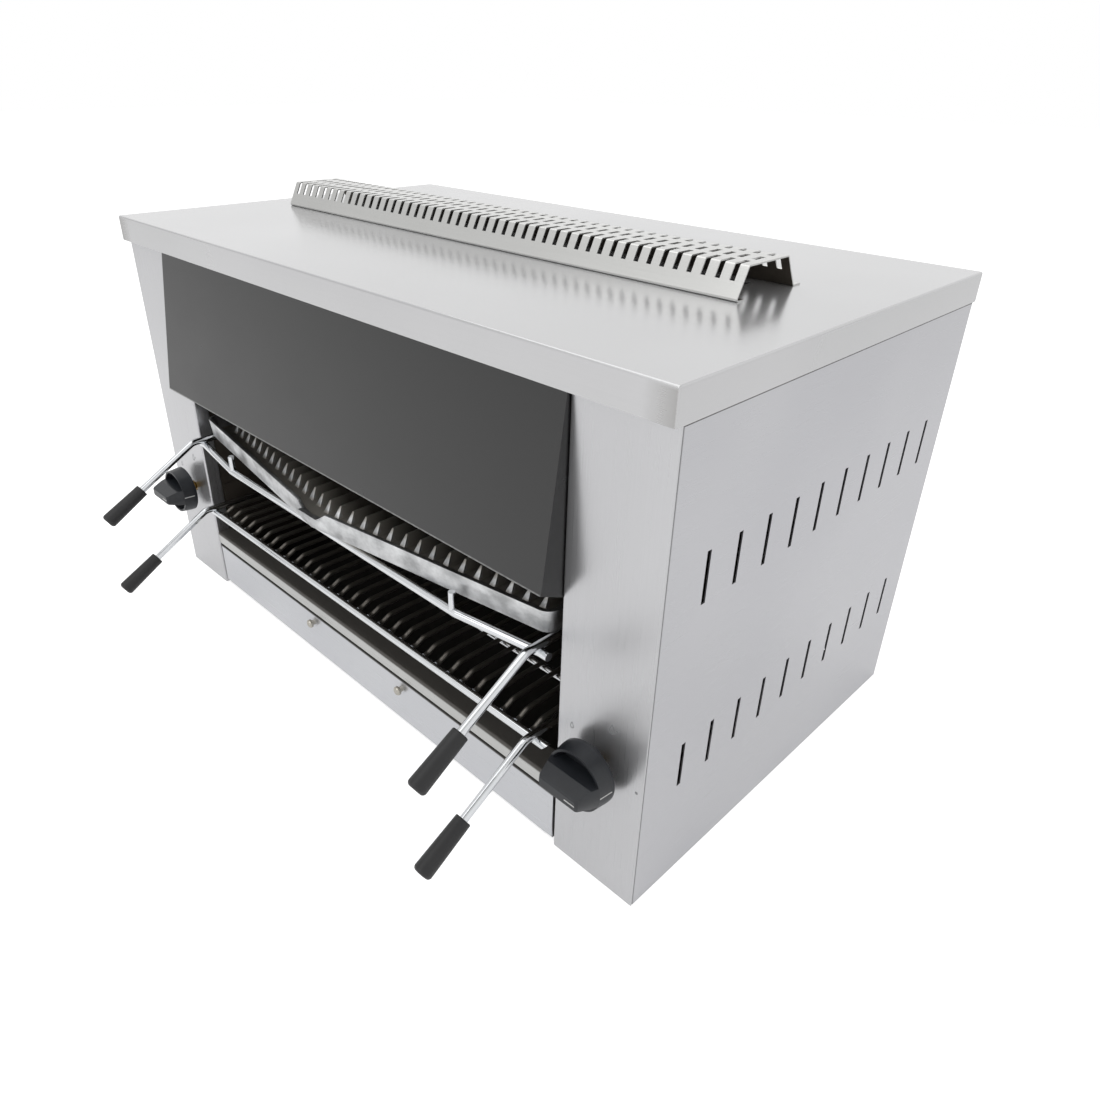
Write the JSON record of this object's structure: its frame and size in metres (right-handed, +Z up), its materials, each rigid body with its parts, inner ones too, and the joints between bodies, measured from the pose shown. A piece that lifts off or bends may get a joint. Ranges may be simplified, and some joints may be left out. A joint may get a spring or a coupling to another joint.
{
  "type": "gas cheese melter",
  "caption": "Countertop gas cheese melter: open-fronted stainless cabinet with overhead burners, sliding racks, a ribbed cast pan, a crumb tray and a slotted flue guard.",
  "frame": {"origin": "centre of the casing underside, midway between its sides and between its front face and its back edge", "axes": "+X to the right seen from the front, +Y from front to back, +Z up"},
  "size_m": [0.8024, 0.6141, 0.4905],
  "materials": {
    "satin_stainless": "satin, finely grained",
    "plain_steel": "mill finish",
    "dark_enamel": "satin",
    "bright_chrome": "polished",
    "black_plastic": "satin",
    "cast_aluminium": "as cast, blasted",
    "ceramic": "porous fired ceramic",
    "scaled_wire": "heat tinted",
    "brass": "machined",
    "pipe": "zinc plated",
    "copper": "drawn copper",
    "zinc_screws": "zinc plated"
  },
  "bodies": {
    "casing": {"base_panel": "plain_steel", "burner_frame": "plain_steel", "deflector_screws": "zinc_screws", "feed_pipes": "pipe", "flue_duct": "plain_steel", "flue_guard": "satin_stainless", "front_crossbar": "satin_stainless", "front_header": "satin_stainless", "gas_inlet": "brass", "gas_manifold": "pipe", "heat_deflector": "dark_enamel", "heat_shield": "plain_steel", "injectors": "brass", "left_burner_housing": "plain_steel", "left_burner_tiles": "ceramic", "left_cavity_liner": "plain_steel", "left_front_column": "satin_stainless", "left_gas_valve": "brass", "left_lower_runner": "plain_steel", "left_radiant_screen": "scaled_wire", "left_side_panel": "satin_stainless", "left_tray_runner": "plain_steel", "left_upper_runner": "plain_steel", "lid": "satin_stainless", "mixing_tubes": "plain_steel", "rear_liner": "plain_steel", "rear_panel": "plain_steel", "rear_panel_screws": "zinc_screws", "right_burner_housing": "plain_steel", "right_burner_tiles": "ceramic", "right_cavity_liner": "plain_steel", "right_front_column": "satin_stainless", "right_gas_valve": "brass", "right_lower_runner": "plain_steel", "right_radiant_screen": "scaled_wire", "right_side_panel": "satin_stainless", "right_tray_runner": "plain_steel", "right_upper_runner": "plain_steel", "thermocouples": "copper"},
    "upper_rack": {"upper_rack": "bright_chrome", "left_upper_side_rod": "bright_chrome", "right_upper_side_rod": "bright_chrome", "left_upper_grip": "black_plastic", "right_upper_grip": "black_plastic"},
    "brander_pan": {"brander_pan": "cast_aluminium"},
    "lower_rack": {"lower_rack": "bright_chrome", "left_lower_side_rod": "bright_chrome", "right_lower_side_rod": "bright_chrome", "left_lower_grip": "black_plastic", "right_lower_grip": "black_plastic"},
    "crumb_tray": {"crumb_tray": "satin_stainless", "tray_pulls": "bright_chrome"},
    "right_plunger": {"right_valve_plunger": "brass"},
    "right_knob": {"right_knob": "black_plastic", "right_valve_spindle": "brass"},
    "left_plunger": {"left_valve_plunger": "brass"},
    "left_knob": {"left_knob": "black_plastic", "left_valve_spindle": "brass"}
  },
  "joints": [
    {"name": "upper_rack_slide", "type": "slide", "parent": "casing", "child": "upper_rack", "axis": [0, -1, 0], "range_m": [0, 0.2]},
    {"name": "pan_lift", "type": "slide", "parent": "upper_rack", "child": "brander_pan", "axis": [0, 0, 1], "range_m": [0, 0.035]},
    {"name": "lower_rack_slide", "type": "slide", "parent": "casing", "child": "lower_rack", "axis": [0, -1, 0], "range_m": [0, 0.2]},
    {"name": "crumb_tray_slide", "type": "slide", "parent": "casing", "child": "crumb_tray", "axis": [0, -1, 0], "range_m": [0, 0.105]},
    {"name": "right_knob_press", "type": "slide", "parent": "casing", "child": "right_plunger", "axis": [0, 1, 0], "range_m": [0, 0.004], "stiffness_N_per_m": 900, "springref_m": -0.003},
    {"name": "right_knob_turn", "type": "hinge", "parent": "right_plunger", "child": "right_knob", "pos_m": [0.3525, -0.2525, 0.13], "axis": [0, -1, 0], "range_deg": [0, 125]},
    {"name": "left_knob_press", "type": "slide", "parent": "casing", "child": "left_plunger", "axis": [0, 1, 0], "range_m": [0, 0.004], "stiffness_N_per_m": 900, "springref_m": -0.003},
    {"name": "left_knob_turn", "type": "hinge", "parent": "left_plunger", "child": "left_knob", "pos_m": [-0.3525, -0.2525, 0.13], "axis": [0, -1, 0], "range_deg": [0, 125]}
  ]
}
